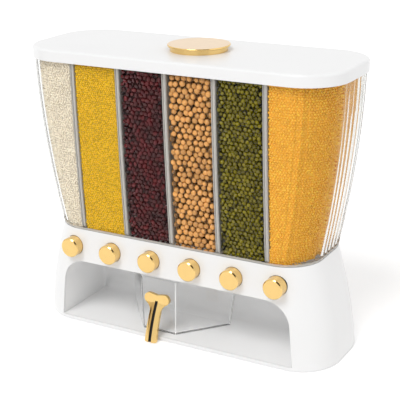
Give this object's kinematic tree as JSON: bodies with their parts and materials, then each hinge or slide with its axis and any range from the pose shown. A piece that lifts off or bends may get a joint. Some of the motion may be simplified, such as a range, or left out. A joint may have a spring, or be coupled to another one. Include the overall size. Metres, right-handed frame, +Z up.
{
  "type": "dry food dispenser",
  "caption": "Countertop dry food dispenser: clear chambered tank on a flared base, push buttons over an alcove with a scoop, lift-off lid with a gold knob.",
  "frame": {"origin": "on the surface that the rubber feet stand on, under the middle of the body", "axes": "+X along the length to the right as seen from the buttons, +Y from the buttons to the back, +Z up"},
  "size_m": [0.39, 0.1493, 0.3407],
  "materials": {
    "white_abs": "satin gloss white ABS",
    "inner_white": "plain moulded white plastic",
    "clear_plastic": "clear polystyrene, smooth",
    "gold_plated": "bright gold plating",
    "steel": "zinc plated",
    "grey_silicone": "grey silicone"
  },
  "bodies": {
    "stand": {"base_shell": "white_abs", "alcove_liner": "white_abs", "bottom_plate": "inner_white", "rubber_feet": "grey_silicone", "bottom_screws": "steel", "hopper_floor": "inner_white", "gate_tray": "inner_white", "tank_gasket": "grey_silicone", "tank": "clear_plastic", "divider_1": "clear_plastic", "divider_2": "clear_plastic", "divider_3": "clear_plastic", "divider_4": "clear_plastic", "divider_5": "clear_plastic"},
    "lid_body": {"lid": "white_abs", "lid_seal": "grey_silicone", "knob_collar": "gold_plated", "knob_disc": "gold_plated", "knob_screw": "steel"},
    "cup_body": {"cup": "clear_plastic", "cup_handle": "gold_plated", "handle_screws": "steel"},
    "button_1_body": {"button_1": "gold_plated", "slide_gate_1": "inner_white", "spring_1": "steel"},
    "button_2_body": {"button_2": "gold_plated", "slide_gate_2": "inner_white", "spring_2": "steel"},
    "button_3_body": {"button_3": "gold_plated", "slide_gate_3": "inner_white", "spring_3": "steel"},
    "button_4_body": {"button_4": "gold_plated", "slide_gate_4": "inner_white", "spring_4": "steel"},
    "button_5_body": {"button_5": "gold_plated", "slide_gate_5": "inner_white", "spring_5": "steel"},
    "button_6_body": {"button_6": "gold_plated", "slide_gate_6": "inner_white", "spring_6": "steel"}
  },
  "joints": [
    {"name": "lid_lift", "type": "slide", "parent": "stand", "child": "lid_body", "axis": [0, 0, 1], "range_m": [0, 0.1]},
    {"name": "cup_slide", "type": "slide", "parent": "stand", "child": "cup_body", "axis": [0, -1, 0], "range_m": [0, 0.15]},
    {"name": "button_1_press", "type": "slide", "parent": "stand", "child": "button_1_body", "axis": [0, 1, 0], "range_m": [0, 0.01], "stiffness_N_per_m": 250, "springref_m": -0.006, "deforming": ["spring_1"]},
    {"name": "button_2_press", "type": "slide", "parent": "stand", "child": "button_2_body", "axis": [0, 1, 0], "range_m": [0, 0.01], "stiffness_N_per_m": 250, "springref_m": -0.006, "deforming": ["spring_2"]},
    {"name": "button_3_press", "type": "slide", "parent": "stand", "child": "button_3_body", "axis": [0, 1, 0], "range_m": [0, 0.01], "stiffness_N_per_m": 250, "springref_m": -0.006, "deforming": ["spring_3"]},
    {"name": "button_4_press", "type": "slide", "parent": "stand", "child": "button_4_body", "axis": [0, 1, 0], "range_m": [0, 0.01], "stiffness_N_per_m": 250, "springref_m": -0.006, "deforming": ["spring_4"]},
    {"name": "button_5_press", "type": "slide", "parent": "stand", "child": "button_5_body", "axis": [0, 1, 0], "range_m": [0, 0.01], "stiffness_N_per_m": 250, "springref_m": -0.006, "deforming": ["spring_5"]},
    {"name": "button_6_press", "type": "slide", "parent": "stand", "child": "button_6_body", "axis": [0, 1, 0], "range_m": [0, 0.01], "stiffness_N_per_m": 250, "springref_m": -0.006, "deforming": ["spring_6"]}
  ]
}
